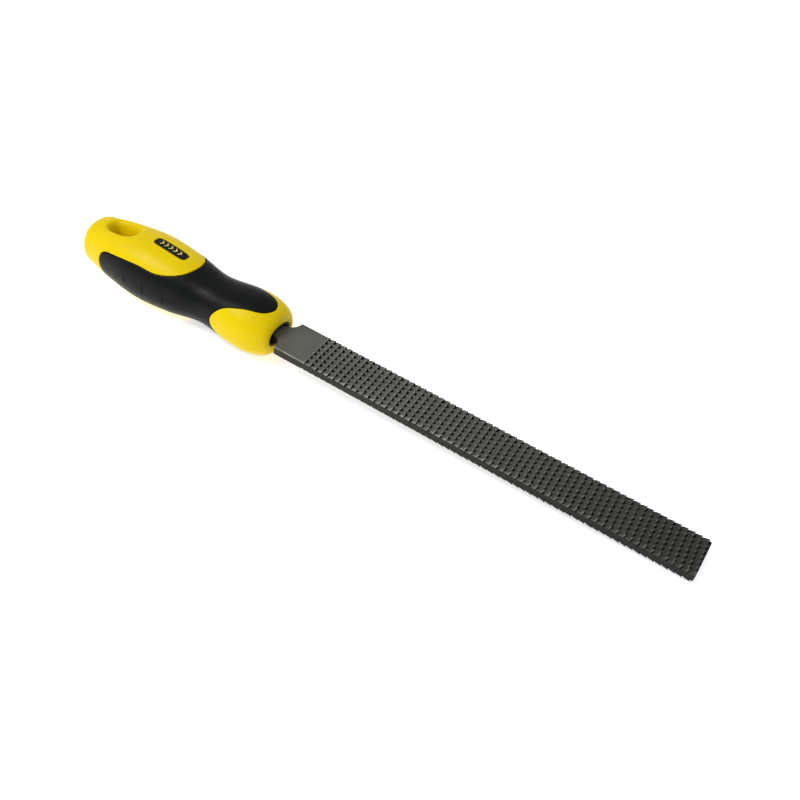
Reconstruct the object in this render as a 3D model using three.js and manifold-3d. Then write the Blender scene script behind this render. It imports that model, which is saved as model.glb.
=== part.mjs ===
// A 200 mm flat wood rasp with a two-part moulded handle, in millimetres.
// +X runs along the blade towards its tip, +Y across it and +Z out of its upper face.
// Inside the `tool` group x is counted from the blade's shoulders, where it reaches full width.
// The group is then moved so that the origin is the middle of the whole rasp, on its long axis.
import * as THREE from "three";
import { mergeGeometries, mergeVertices } from "three/addons/utils/BufferGeometryUtils.js";
import Module from "manifold-3d";

const wasm = await Module();
wasm.setup();

// Blade
const BLADE_LENGTH = 200;
const BLADE_WIDTH = 22;
const BLADE_THICKNESS = 4.2;
const EDGE_CHAMFER = 0.4;
const TIP_CORNER_RADIUS = 1.2;
const SHOULDER_CORNER_RADIUS = 0.5;
const NECK_FILLET_RADIUS = 6;
const NECK_WIDTH = 8.6;
const TANG_LENGTH = 50;
const TANG_END_WIDTH = 3.6;

// Teeth: rows across the blade. Each row is shifted along itself from the one before by a fixed
// share of the tooth pitch, and the first few rows lag behind that
const PLAIN_HEEL_LENGTH = 15.8;
const ROW_PITCH = 3;
const ROW_COUNT = 62;
const ROW_SLANT = Math.tan(THREE.MathUtils.degToRad(3));
const TOOTH_PITCH = 3.1;
const TEETH_REACH = 9.9;
const FIRST_ROW_SHIFT = 0.67;
const ROW_SHIFT = 0.561;
const FIRST_ROWS_LAG = 0.44;
const LAG_LEFT_BY_NEXT_ROW = 0.42;
const TOOTH_HEIGHT = 0.9;
const TOOTH_RADIUS = 1.05;
const TOOTH_ROOT_DEPTH = 0.2;
const TOOTH_LEAN = 0.45;

// Handle
const BUTT_X = -115;
const NOSE_X = -4.4;
const SECTION_EXPONENT = 2.2;
const SECTION_POINTS = 32;
const BUTT_ROUNDING = { length: 6.5, exponent: 2.8 };
const NOSE_ROUNDING = { length: 15, share: 0.42 };
const STATION_PITCH = 18;
const FIRST_STATION_X = -114;
const STATION_HALF_WIDTHS = [11.2, 14.5, 16.5, 15.4, 12.8, 14.8, 15];
const STATION_HALF_HEIGHTS = [10.9, 14, 16, 14.7, 11.5, 13.3, 13.6];

// Soft grip, let into the hard core
const GRIP_THICKNESS = 2;
const CLEARANCE = 0.3;
const GROOVE_WIDTH = 0.8;
const GROOVE_DEPTH = 0.6;
const GROOVES = [
  { x: -82, halfAngle: 13 },
  { x: -71, halfAngle: 17 },
  { x: -60, halfAngle: 21 },
];

// Edges of the hard panels that the grip leaves showing: x, then degrees either side of the middle
const BACK_PANEL_EDGE = [
  [-99.5, 90],
  [-97, 67],
  [-88, 61],
  [-76, 57],
  [-66, 56.5],
  [-58, 46],
  [-53, 28],
  [-51.3, 1],
];
const FRONT_PETAL_EDGE = [
  [-34.2, 1],
  [-32.5, 19],
  [-28, 38],
  [-20, 52],
  [-14, 62],
  [-11.5, 73],
  [-10.3, 90],
];
const PANEL_OVERLAP_ANGLE = 100;
const UNDERSIDE_PANEL_SHARE = 0.87;

// Hole for hanging, mouth, tang socket and label
const HANG_HOLE = { x: -95.5, length: 14, width: 7, flare: 2.6, flareDepth: 5 };
const MOUTH_WIDTH = 15.6;
const MOUTH_HEIGHT = 10;
const SOCKET_FRONT_X = -4.8;
const SOCKET_CUP_DEPTH = 6;
const SOCKET_WALL = 0.8;
const SOCKET_LENGTH = 49;
const LABEL = { x: -67.6, length: 18, width: 5.2, thickness: 0.8, exponent: 5 };

const UP = 90;
const DOWN = 270;
const LEFT = 0;
const RIGHT = 180;
const WELL_OUTSIDE = 12;

// ---- Solids ----

function solidOf(geometry) {
  const bare = geometry.clone();
  bare.deleteAttribute("normal");
  bare.deleteAttribute("uv");
  const merged = mergeVertices(bare, 1e-4);
  const vertProperties = merged.attributes.position.array;
  const triVerts = new Uint32Array(merged.index.array);
  return new wasm.Manifold(new wasm.Mesh({ numProp: 3, vertProperties, triVerts }));
}

function geometryOf(solid) {
  const { vertProperties, triVerts } = solid.getMesh();
  const geometry = new THREE.BufferGeometry();
  geometry.setAttribute("position", new THREE.BufferAttribute(vertProperties, 3));
  geometry.setIndex(new THREE.BufferAttribute(triVerts, 1));
  geometry.computeVertexNormals();
  return geometry;
}

// A closed solid through a row of loops. Every loop has the same number of points and turns
// anticlockwise seen from where the row is heading; both ends are closed from their first point.
function loft(loops) {
  const size = loops[0].length;
  const at = (loop, point) => loop * size + (point % size);
  const indices = [];
  for (let i = 0; i + 1 < loops.length; i += 1) {
    for (let j = 0; j < size; j += 1) {
      indices.push(at(i, j), at(i, j + 1), at(i + 1, j + 1));
      indices.push(at(i, j), at(i + 1, j + 1), at(i + 1, j));
    }
  }
  const last = loops.length - 1;
  for (let j = 1; j + 1 < size; j += 1) {
    indices.push(at(0, 0), at(0, j + 1), at(0, j));
    indices.push(at(last, 0), at(last, j), at(last, j + 1));
  }
  const geometry = new THREE.BufferGeometry().setFromPoints(loops.flat());
  geometry.setIndex(indices);
  return solidOf(geometry);
}

// Points of a superellipse: exponent 2 is an ellipse, and larger exponents are squarer.
function oval(halfWidth, halfHeight, exponent) {
  const bend = (value) => Math.sign(value) * Math.abs(value) ** (2 / exponent);
  return Array.from({ length: SECTION_POINTS }, (_, i) => {
    const angle = (2 * Math.PI * i) / SECTION_POINTS;
    return [halfWidth * bend(Math.cos(angle)), halfHeight * bend(Math.sin(angle))];
  });
}

function ovalAcrossX(x, halfWidth, halfHeight, exponent) {
  return oval(halfWidth, halfHeight, exponent).map(([y, z]) => new THREE.Vector3(x, y, z));
}

function ovalAcrossZ(x, z, halfLength, halfWidth, exponent) {
  return oval(halfLength, halfWidth, exponent).map(([u, v]) => new THREE.Vector3(x + u, v, z));
}

// ---- Blade ----

// Plan view of the blade and its tang, walked anticlockwise from the tang's end.
function bladeOutline() {
  const half = BLADE_WIDTH / 2;
  const neck = NECK_WIDTH / 2;
  const tangEnd = TANG_END_WIDTH / 2;
  const fillet = NECK_FILLET_RADIUS;
  const filletY = neck + fillet;
  const corner = SHOULDER_CORNER_RADIUS;
  const tip = BLADE_LENGTH - TIP_CORNER_RADIUS;
  const tipY = half - TIP_CORNER_RADIUS;
  const quarter = Math.PI / 2;
  const outline = new THREE.Shape();
  outline.moveTo(-TANG_LENGTH, tangEnd);
  outline.lineTo(-TANG_LENGTH, -tangEnd);
  outline.absarc(-fillet, -filletY, fillet, quarter, 0, true);
  outline.absarc(corner, corner - half, corner, 2 * quarter, 3 * quarter, false);
  outline.absarc(tip, -tipY, TIP_CORNER_RADIUS, 3 * quarter, 4 * quarter, false);
  outline.absarc(tip, tipY, TIP_CORNER_RADIUS, 0, quarter, false);
  outline.absarc(corner, half - corner, corner, quarter, 2 * quarter, false);
  outline.absarc(-fillet, filletY, fillet, 0, -quarter, true);
  outline.closePath();
  return outline;
}

// Plan view of the slot that takes the tang, with room all round it.
function slotOutline() {
  const endX = -TANG_LENGTH - CLEARANCE;
  const end = TANG_END_WIDTH / 2 + CLEARANCE;
  const neck = NECK_WIDTH / 2 + CLEARANCE;
  const corners = [
    [endX, -end],
    [-NECK_FILLET_RADIUS, -neck],
    [0, -neck],
    [0, neck],
    [-NECK_FILLET_RADIUS, neck],
    [endX, end],
  ];
  return new THREE.Shape(corners.map(([x, y]) => new THREE.Vector2(x, y)));
}

function bladeBar() {
  const geometry = new THREE.ExtrudeGeometry(bladeOutline(), {
    depth: BLADE_THICKNESS - 2 * EDGE_CHAMFER,
    bevelThickness: EDGE_CHAMFER,
    bevelSize: EDGE_CHAMFER,
    bevelOffset: -EDGE_CHAMFER,
    bevelSegments: 1,
    curveSegments: 8,
  });
  return solidOf(geometry.translate(0, 0, EDGE_CHAMFER - BLADE_THICKNESS / 2));
}

// One tooth: a three-sided spike whose back climbs from the heel and whose steep face looks to the tip.
function toothSpike() {
  const height = TOOTH_HEIGHT + TOOTH_ROOT_DEPTH;
  const spike = new THREE.ConeGeometry(TOOTH_RADIUS, height, 3);
  spike.rotateX(Math.PI / 2).rotateZ(-Math.PI / 2).translate(0, 0, height / 2);
  const lean = new THREE.Matrix4().makeShear(0, 0, 0, 0, TOOTH_LEAN, 0);
  return spike.applyMatrix4(lean).translate(0, 0, BLADE_THICKNESS / 2 - TOOTH_ROOT_DEPTH);
}

// Places across the blade of one row's teeth.
function toothPlaces(row) {
  const lag = FIRST_ROWS_LAG * LAG_LEFT_BY_NEXT_ROW ** row;
  const shift = ((FIRST_ROW_SHIFT + ROW_SHIFT * row - lag) % 1) * TOOTH_PITCH;
  const most = Math.ceil(TEETH_REACH / TOOTH_PITCH);
  const places = Array.from({ length: 2 * most + 1 }, (_, i) => (i - most) * TOOTH_PITCH + shift);
  return places.filter((y) => Math.abs(y) <= TEETH_REACH);
}

function toothField() {
  const spike = toothSpike();
  const spikes = [];
  for (let row = 0; row < ROW_COUNT; row += 1) {
    for (const y of toothPlaces(row)) {
      const x = PLAIN_HEEL_LENGTH + row * ROW_PITCH - y * ROW_SLANT;
      spikes.push(spike.clone().translate(x, y, 0));
    }
  }
  return mergeGeometries(spikes);
}

function bladeSolid() {
  const upper = toothField();
  const lower = upper.clone().rotateX(Math.PI);
  return bladeBar().add(solidOf(upper)).add(solidOf(lower));
}

// ---- Handle ----

function stationCurve(halfSizes) {
  const points = halfSizes.map((size, i) => new THREE.Vector2(FIRST_STATION_X + i * STATION_PITCH, size));
  return new THREE.SplineCurve(points);
}

const widthCurve = stationCurve(STATION_HALF_WIDTHS);
const heightCurve = stationCurve(STATION_HALF_HEIGHTS);

// How far the rounded butt and nose have closed in at x: 1 along the body, less at the ends.
function endScale(x) {
  const butt = 1 - (x - BUTT_X) / BUTT_ROUNDING.length;
  if (butt > 0) {
    return (1 - butt ** BUTT_ROUNDING.exponent) ** (1 / BUTT_ROUNDING.exponent);
  }
  const nose = 1 - (NOSE_X - x) / NOSE_ROUNDING.length;
  return nose > 0 ? 1 - NOSE_ROUNDING.share * (1 - Math.sqrt(Math.max(0, 1 - nose ** 2))) : 1;
}

function handleLoop(x, grow) {
  const span = STATION_PITCH * (STATION_HALF_WIDTHS.length - 1);
  const t = THREE.MathUtils.clamp((x - FIRST_STATION_X) / span, 0, 1);
  const halfWidth = widthCurve.getPoint(t).y * endScale(x) + grow;
  const halfHeight = heightCurve.getPoint(t).y * endScale(x) + grow;
  return ovalAcrossX(x, halfWidth, halfHeight, SECTION_EXPONENT);
}

// Places along x for the handle's loops: close together where the butt and the nose turn in.
function handleStops() {
  const buttSteps = 4;
  const bodySteps = 16;
  const noseSteps = 5;
  const buttEnd = BUTT_X + BUTT_ROUNDING.length;
  const noseStart = NOSE_X - NOSE_ROUNDING.length;
  const stops = [];
  for (let i = 0; i < buttSteps; i += 1) {
    const turn = ((i + 0.25) / buttSteps) * (Math.PI / 2);
    stops.push(buttEnd - BUTT_ROUNDING.length * Math.cos(turn));
  }
  for (let i = 0; i < bodySteps; i += 1) {
    stops.push(THREE.MathUtils.lerp(buttEnd, noseStart, i / bodySteps));
  }
  for (let i = 0; i <= noseSteps; i += 1) {
    stops.push(noseStart + NOSE_ROUNDING.length * Math.sin(((i / noseSteps) * Math.PI) / 2));
  }
  return stops;
}

// The handle's outer form between two places along x, made fatter or thinner all round by grow.
function handleBody(grow = 0, fromX = -Infinity, toX = Infinity) {
  const stops = handleStops().filter((x) => x > fromX && x < toX);
  if (Number.isFinite(fromX)) stops.unshift(fromX);
  if (Number.isFinite(toX)) stops.push(toX);
  return loft(stops.map((x) => handleLoop(x, grow)));
}

// A wedge of space that opens outwards from the handle's axis around one side of it.
function wedge(side, rows) {
  const arcSteps = 12;
  const reach = 30;
  const loops = rows.map(({ x, halfAngle }) => {
    const loop = [new THREE.Vector3(x, 0, 0)];
    for (let i = 0; i <= arcSteps; i += 1) {
      const angle = THREE.MathUtils.degToRad(side + halfAngle * ((2 * i) / arcSteps - 1));
      loop.push(new THREE.Vector3(x, reach * Math.cos(angle), reach * Math.sin(angle)));
    }
    return loop;
  });
  return loft(loops);
}

// Wedge over a hard panel. Its edge is a smooth curve through the given points, and past the
// blunt end of the edge the wedge takes more than half of the handle, up to the handle's end.
function panelWedge(side, edge, outwards) {
  const curveSteps = 16;
  const middleRadius = 15;
  const tipDirection = edge[0][1] < edge.at(-1)[1] ? -1 : 1;
  const curve = new THREE.SplineCurve(edge.map(([x, angle]) => new THREE.Vector2(x, angle)));
  const wider = THREE.MathUtils.radToDeg(outwards / middleRadius);
  const rows = curve.getPoints(curveSteps).map((point) => {
    return { x: point.x + tipDirection * outwards, halfAngle: point.y + wider };
  });
  if (tipDirection > 0) {
    rows.unshift({ x: rows[0].x - CLEARANCE, halfAngle: PANEL_OVERLAP_ANGLE });
    rows.unshift({ x: BUTT_X - WELL_OUTSIDE, halfAngle: PANEL_OVERLAP_ANGLE });
  } else {
    rows.push({ x: rows.at(-1).x + CLEARANCE, halfAngle: PANEL_OVERLAP_ANGLE });
    rows.push({ x: NOSE_X + WELL_OUTSIDE, halfAngle: PANEL_OVERLAP_ANGLE });
  }
  return wedge(side, rows);
}

// The back panel is a little narrower under the handle than on top, but starts at the same place.
function undersidePanelEdge() {
  const [start, ...rest] = BACK_PANEL_EDGE;
  return [start, ...rest.map(([x, angle]) => [x, angle * UNDERSIDE_PANEL_SHARE])];
}

// What lies between the grip's inner and outer surfaces, where no hard panel shows.
function gripZone(outerGrow, depth, panelsOutwards) {
  const fromX = BACK_PANEL_EDGE[0][0] - 4;
  const toX = FRONT_PETAL_EDGE.at(-1)[0] + 2;
  const inner = handleBody(-depth, fromX - 1, toX + 1);
  return handleBody(outerGrow, fromX, toX)
    .subtract(inner)
    .subtract(panelWedge(UP, BACK_PANEL_EDGE, panelsOutwards))
    .subtract(panelWedge(DOWN, undersidePanelEdge(), panelsOutwards))
    .subtract(panelWedge(LEFT, FRONT_PETAL_EDGE, panelsOutwards))
    .subtract(panelWedge(RIGHT, FRONT_PETAL_EDGE, panelsOutwards));
}

function grooveCut(side, { x, halfAngle }) {
  const rows = [
    { x: x - GROOVE_WIDTH / 2, halfAngle },
    { x: x + GROOVE_WIDTH / 2, halfAngle },
  ];
  return wedge(side, rows).subtract(handleBody(-GROOVE_DEPTH));
}

function gripSolid() {
  let grip = gripZone(0, GRIP_THICKNESS, CLEARANCE / 2);
  for (const groove of GROOVES) {
    grip = grip.subtract(grooveCut(LEFT, groove)).subtract(grooveCut(RIGHT, groove));
  }
  return grip;
}

// The hole for hanging runs straight through and widens where it meets each surface.
function hangHoleCut() {
  const { x, length, width, flare, flareDepth } = HANG_HOLE;
  const surfaceZ = STATION_HALF_HEIGHTS[1];
  const exponent = 3;
  const loops = [
    [-surfaceZ - WELL_OUTSIDE, flare],
    [-surfaceZ, flare],
    [-surfaceZ + flareDepth, 0],
    [surfaceZ - flareDepth, 0],
    [surfaceZ, flare],
    [surfaceZ + WELL_OUTSIDE, flare],
  ];
  return loft(loops.map(([z, grow]) => ovalAcrossZ(x, z, length / 2 + grow, width / 2 + grow, exponent)));
}

function mouthTube(fromX, toX, grow) {
  const halfWidth = MOUTH_WIDTH / 2 + grow;
  const halfHeight = MOUTH_HEIGHT / 2 + grow;
  return loft([fromX, toX].map((x) => ovalAcrossX(x, halfWidth, halfHeight, SECTION_EXPONENT)));
}

// The label's plate, or with a clearance the pocket that takes it, let into the upper surface.
function labelPlate(clearance) {
  const { x, length, width, thickness, exponent } = LABEL;
  const zs = [0, STATION_HALF_HEIGHTS[2] + WELL_OUTSIDE];
  const halfLength = length / 2 + clearance;
  const column = loft(zs.map((z) => ovalAcrossZ(x, z, halfLength, width / 2 + clearance, exponent)));
  return column.subtract(handleBody(-thickness - clearance));
}

function labelSolid() {
  return labelPlate(0).intersect(handleBody());
}

function coreSolid() {
  const socketBack = SOCKET_FRONT_X - SOCKET_LENGTH - CLEARANCE;
  return handleBody()
    .subtract(gripZone(WELL_OUTSIDE / 4, GRIP_THICKNESS + CLEARANCE, -CLEARANCE / 2))
    .subtract(hangHoleCut())
    .subtract(mouthTube(socketBack, NOSE_X + 1, 0))
    .subtract(labelPlate(CLEARANCE));
}

// The socket's slot follows the tang; its front end opens into a shallow cup.
function socketSolid() {
  const slotHeight = BLADE_THICKNESS + 2 * CLEARANCE;
  const slot = new THREE.ExtrudeGeometry(slotOutline(), { depth: slotHeight, bevelEnabled: false });
  slot.translate(0, 0, -slotHeight / 2);
  const cup = mouthTube(SOCKET_FRONT_X - SOCKET_CUP_DEPTH, NOSE_X + 1, -CLEARANCE - SOCKET_WALL);
  return mouthTube(SOCKET_FRONT_X - SOCKET_LENGTH, SOCKET_FRONT_X, -CLEARANCE)
    .subtract(solidOf(slot))
    .subtract(cup);
}

// ---- Materials and assembly ----

const darkSteel = new THREE.MeshStandardMaterial({ color: 0x5a5a55, roughness: 0.5, metalness: 0.85 });
const yellowPlastic = new THREE.MeshStandardMaterial({ color: 0xebc901, roughness: 0.35, metalness: 0 });
const blackRubber = new THREE.MeshStandardMaterial({ color: 0x222725, roughness: 0.6, metalness: 0 });
const blackPlastic = new THREE.MeshStandardMaterial({ color: 0x151210, roughness: 0.5, metalness: 0 });
const labelPlastic = new THREE.MeshStandardMaterial({ color: 0x1a1a1a, roughness: 0.4, metalness: 0 });

function piece(name, solid, material) {
  const mesh = new THREE.Mesh(geometryOf(solid), material);
  mesh.name = name;
  return mesh;
}

const tool = new THREE.Group();
tool.add(piece("blade", bladeSolid(), darkSteel));
tool.add(piece("handle_core", coreSolid(), yellowPlastic));
tool.add(piece("grip", gripSolid(), blackRubber));
tool.add(piece("tang_socket", socketSolid(), blackPlastic));
tool.add(piece("label_plate", labelSolid(), labelPlastic));
tool.position.x = -(BLADE_LENGTH + BUTT_X) / 2;

const rasp = new THREE.Group();
rasp.add(tool);
export default rasp;
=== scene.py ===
# A 200 mm flat wood rasp, dressed for rendering on a plain pale floor.
# Work is in millimetres counted from the blade's shoulders (x along the blade towards its tip,
# y across it, z out of its upper face); to_frame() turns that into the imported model's metres.
import math
import bmesh
import bpy
import numpy as np
from mathutils import Matrix, Quaternion, Vector
from mathutils.geometry import delaunay_2d_cdt


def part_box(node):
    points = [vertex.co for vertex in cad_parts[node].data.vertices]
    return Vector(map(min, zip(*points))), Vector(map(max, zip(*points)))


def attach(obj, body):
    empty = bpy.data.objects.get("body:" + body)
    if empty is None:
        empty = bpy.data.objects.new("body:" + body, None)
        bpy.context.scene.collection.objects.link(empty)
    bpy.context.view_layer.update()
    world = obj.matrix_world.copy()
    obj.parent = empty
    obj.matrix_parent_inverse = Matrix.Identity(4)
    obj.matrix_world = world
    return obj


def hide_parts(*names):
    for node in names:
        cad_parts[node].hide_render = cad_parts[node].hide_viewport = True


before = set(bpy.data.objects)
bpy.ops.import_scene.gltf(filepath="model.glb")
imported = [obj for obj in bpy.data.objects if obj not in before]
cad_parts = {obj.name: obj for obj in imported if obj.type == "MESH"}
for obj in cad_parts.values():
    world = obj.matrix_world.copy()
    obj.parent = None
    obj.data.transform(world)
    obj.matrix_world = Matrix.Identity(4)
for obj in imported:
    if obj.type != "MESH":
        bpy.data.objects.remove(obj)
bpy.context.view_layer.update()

MM = 0.001
BODY = "root"

# ---- Sizes taken from the frame ----

blade_low, blade_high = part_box("blade")
core_low, core_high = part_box("handle_core")
_, grip_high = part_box("grip")
socket_low, socket_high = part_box("tang_socket")
label_low, label_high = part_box("label_plate")

BLADE_LENGTH = 200.0
SHOULDER_X = blade_high[0] - BLADE_LENGTH * MM
TOOTH_HEIGHT = 0.9
BLADE_HALF_WIDTH = blade_high[1] / MM
BLADE_HALF_THICKNESS = blade_high[2] / MM - TOOTH_HEIGHT
BUTT_X = (core_low[0] - SHOULDER_X) / MM
NOSE_X = (core_high[0] - SHOULDER_X) / MM
BELLY_HALF_WIDTH = grip_high[1] / MM
BELLY_HALF_HEIGHT = core_high[2] / MM

# ---- Handle form: sections along x, as shares of the belly ----

SECTION_EXPONENT = 2.2
WIDTH_SHARES = np.array([0.68, 0.878, 1.0, 0.933, 0.776, 0.897, 0.909])
HEIGHT_SHARES = np.array([0.68, 0.875, 1.0, 0.919, 0.719, 0.831, 0.85])
STATION_PITCH = 18.0
STATION_XS = BUTT_X + 1.0 + STATION_PITCH * np.arange(len(WIDTH_SHARES))
BUTT_ROUNDING = 6.5
BUTT_EXPONENT = 2.8
BUTT_ARC = 14.0
NOSE_ROUNDING = 15.0
NOSE_SHARE = 0.42
NOSE_ARC = 17.0

# Edge of the grip against the hard panels: x, then degrees up from the side of the handle
BACK_EDGE = [(-99.5, 0), (-97, 23), (-88, 29), (-76, 33), (-66, 33.5), (-58, 44), (-53, 62), (-51.3, 90)]
UNDERSIDE_PANEL_SHARE = 0.87
FRONT_EDGE = [(-34.2, 0), (-32.5, 19), (-28, 38), (-20, 52), (-14, 62), (-11.5, 73), (-10.3, 90)]
SEAM_HALF_GAP = 0.1
HARD_EDGE_RADIUS = 0.4
SOFT_EDGE_RADIUS = 0.45
GRIP_THICKNESS = 2.0
RECESS_DEPTH = 2.3
# Grooves on the grip's sides: x, then degrees that each reaches up and down from the side line
GROOVES = [(-82.0, 13.0), (-71.0, 17.0), (-60.0, 21.0)]
GROOVE_DEPTH = 0.25
GROOVE_HALF_WIDTH = 0.4
GROOVE_FADE = 1.5

# Quarter of the handle's skin laid flat: u along the handle, v round it from side to top
SKIN_RADIUS = 14.0
SKIN_TOP = SKIN_RADIUS * math.pi / 2
SKIN_START = BUTT_X + BUTT_ROUNDING - BUTT_ARC
SKIN_END = NOSE_X - NOSE_ROUNDING + NOSE_ARC
# How finely it is divided: the rows of points, and the lines that follow each feature
SKIN_STEP = 0.75
LINE_CLEARANCE = 0.45
SEAM_RINGS = [0.0, 0.05, 0.14, 0.28, 0.45, 0.75]
SAMPLES_PER_KNOT = 14
GROOVE_LINES = [-1.0, -0.6, -0.3, 0.0, 0.3, 0.6, 1.0]
GROOVE_LINE_STEP = 0.5
GROOVE_RUN_ON_DEGREES = 8.0
HOLE_RIM_SAMPLES = 64
LABEL_RINGS = [0.0, 0.1, 0.25]
LABEL_SAMPLES = 72

# Hang hole, mouth and label
HOLE_X = -95.5
HOLE_HALF = (7.0, 3.5)
HOLE_EXPONENT = 2.8
HOLE_FLARE = 3.4
HOLE_FLARE_DEPTH = 8.0
HOLE_RIM = (HOLE_HALF[0] + HOLE_FLARE, HOLE_HALF[1] + HOLE_FLARE)
MOUTH_HALF = (7.8, 5.0)
MOUTH_DEPTH = 51.0
MOUTH_LIP = 0.5
LABEL_X = ((label_low[0] + label_high[0]) / 2 - SHOULDER_X) / MM
LABEL_HALF = ((label_high[0] - label_low[0]) / 2 / MM, label_high[1] / MM)
LABEL_EXPONENT = 5.0
LABEL_GAP = 0.15
LABEL_DEPTH = 1.0
LABEL_LIFT = 0.12
LABEL_POCKET = (LABEL_HALF[0] + LABEL_GAP, LABEL_HALF[1] + LABEL_GAP)
POCKET_EDGE_RADIUS = 0.2

# Differences this small count as none, so that points meant to meet do meet
ROUNDING = 1e-12
SAME_PLACE = 1e-6


def to_frame(points):
    """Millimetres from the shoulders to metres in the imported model's frame."""
    return np.asarray(points, dtype=float) * MM + np.array([SHOULDER_X, 0.0, 0.0])


# ---- Mesh helpers ----

def mesh_object(name, points, faces, material, sharp_degrees=35.0, weld=0.0005):
    """A closed mesh from points in millimetres, welded, turned outwards and smooth shaded."""
    mesh = bpy.data.meshes.new(name)
    mesh.from_pydata([tuple(p) for p in to_frame(points)], [], [tuple(int(i) for i in f) for f in faces])
    bm = bmesh.new()
    bm.from_mesh(mesh)
    bmesh.ops.remove_doubles(bm, verts=bm.verts, dist=weld * MM)
    bmesh.ops.dissolve_degenerate(bm, edges=bm.edges, dist=weld * MM / 10)
    bmesh.ops.recalc_face_normals(bm, faces=bm.faces)
    open_edges = sum(1 for edge in bm.edges if not edge.is_manifold)
    if open_edges:
        print(name, "has", open_edges, "edges that are not closed")
    bm.to_mesh(mesh)
    bm.free()
    mesh.shade_smooth()
    mesh.set_sharp_from_angle(angle=math.radians(sharp_degrees))
    mesh.materials.append(material)
    piece = bpy.data.objects.new(name, mesh)
    bpy.context.scene.collection.objects.link(piece)
    return piece


def grid_faces(rows, columns, closed=False):
    """Quads over points stored row by row; closed joins each row's last point to its first."""
    faces = []
    for i in range(rows - 1):
        for j in range(columns if closed else columns - 1):
            k = (j + 1) % columns
            faces.append((i * columns + j, i * columns + k, (i + 1) * columns + k, (i + 1) * columns + j))
    return faces


def loft(loops, capped):
    """Points and faces of a tube through equal loops, open or with flat ends."""
    loops = np.asarray(loops)
    rows, columns = loops.shape[:2]
    faces = grid_faces(rows, columns, closed=True)
    if capped:
        faces.append(tuple(range(columns)))
        faces.append(tuple((rows - 1) * columns + j for j in range(columns)))
    return loops.reshape(-1, 3), faces


def oval(half_a, half_b, exponent, count, half_turn=False):
    """Points of a superellipse: exponent 2 is an ellipse, and larger exponents are squarer.

    A half turn runs from +a over +b to -a, and has a point at both of its ends."""
    turn = math.pi if half_turn else 2 * math.pi
    angles = turn * np.arange(count + half_turn) / count
    cos, sin = np.cos(angles), np.sin(angles)
    cos[np.abs(cos) < ROUNDING] = 0.0
    sin[np.abs(sin) < ROUNDING] = 0.0
    a = half_a * np.sign(cos) * np.abs(cos) ** (2 / exponent)
    b = half_b * np.sign(sin) * np.abs(sin) ** (2 / exponent)
    return a, b


def smooth(value):
    """Eases from 0 to 1 as value does, and holds beyond."""
    value = np.clip(value, 0, 1)
    return value * value * (3 - 2 * value)


def catmull_rom(values, place):
    """Smooth curve through evenly spaced values; place counts stations from 0."""
    values = np.asarray(values, dtype=float)
    last = len(values) - 1
    place = np.clip(place, 0, last - 1e-9)
    i = place.astype(int)
    t = place - i
    before, here = values[np.maximum(i - 1, 0)], values[i]
    there, after = values[i + 1], values[np.minimum(i + 2, last)]
    leave, arrive = (there - before) / 2, (after - here) / 2
    cubic = 2 * here - 2 * there + leave + arrive
    square = 3 * there - 3 * here - 2 * leave - arrive
    return cubic * t ** 3 + square * t ** 2 + leave * t + here


# ---- Handle surface ----

def half_sizes(x):
    """The handle's half width and half height at x, before its ends close in."""
    place = (np.asarray(x, dtype=float) - STATION_XS[0]) / STATION_PITCH
    width = catmull_rom(WIDTH_SHARES, place) * BELLY_HALF_WIDTH
    height = catmull_rom(HEIGHT_SHARES, place) * BELLY_HALF_HEIGHT
    return width, height


def meridian(u):
    """x and the section's closing scale at u, which follows x but goes on round the butt and nose."""
    u = np.asarray(u, dtype=float)
    butt_start = BUTT_X + BUTT_ROUNDING
    nose_start = NOSE_X - NOSE_ROUNDING
    x, scale = u.copy(), np.ones_like(u)
    butt = u < butt_start
    a = np.clip((butt_start - u[butt]) / BUTT_ARC, 0, 1) * math.pi / 2
    x[butt] = butt_start - BUTT_ROUNDING * np.sin(a) ** (2 / BUTT_EXPONENT)
    scale[butt] = np.clip(np.cos(a), 0, 1) ** (2 / BUTT_EXPONENT)
    nose = u > nose_start
    a = np.clip((u[nose] - nose_start) / NOSE_ARC, 0, 1) * math.pi / 2
    x[nose] = nose_start + NOSE_ROUNDING * np.sin(a)
    scale[nose] = 1 - NOSE_SHARE * (1 - np.cos(a))
    return x, scale


def skin_point(u, v):
    """Point of the handle's surface in its upper left quarter."""
    x, scale = meridian(u)
    width, height = half_sizes(x)
    angle = np.asarray(v, dtype=float) / SKIN_RADIUS
    cos = np.clip(np.cos(angle), 0, 1) ** (2 / SECTION_EXPONENT)
    sin = np.clip(np.sin(angle), 0, 1) ** (2 / SECTION_EXPONENT)
    cos[np.abs(np.asarray(v) - SKIN_TOP) < SAME_PLACE] = 0.0
    return np.stack([x, width * scale * cos, height * scale * sin], axis=1)


def skin_normal(u, v):
    """Outward normal of the handle's surface, from its superelliptic sections."""
    step = 0.05
    n = SECTION_EXPONENT
    point = skin_point(u, v)
    x, scale = meridian(u)
    width, height = half_sizes(x)
    x_on, scale_on = meridian(u + step)
    width_on, height_on = half_sizes(x_on)
    width, height = width * scale + SAME_PLACE, height * scale + SAME_PLACE
    dx = np.where(np.abs(x_on - x) < SAME_PLACE, SAME_PLACE, x_on - x)
    width_slope = (width_on * scale_on - width) / dx
    height_slope = (height_on * scale_on - height) / dx
    y_share, z_share = np.abs(point[:, 1]) / width, np.abs(point[:, 2]) / height
    normal = np.stack([
        -(y_share ** n * width_slope / width + z_share ** n * height_slope / height),
        y_share ** (n - 1) / width,
        z_share ** (n - 1) / height,
    ], axis=1)
    return normal / np.linalg.norm(normal, axis=1, keepdims=True)


def surface_z(x, y):
    """Height of the handle's upper surface over a point of its plan."""
    width, height = half_sizes(x)
    share = np.clip(np.abs(y) / width, 0, 1)
    return height * (1 - share ** SECTION_EXPONENT) ** (1 / SECTION_EXPONENT)


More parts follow.
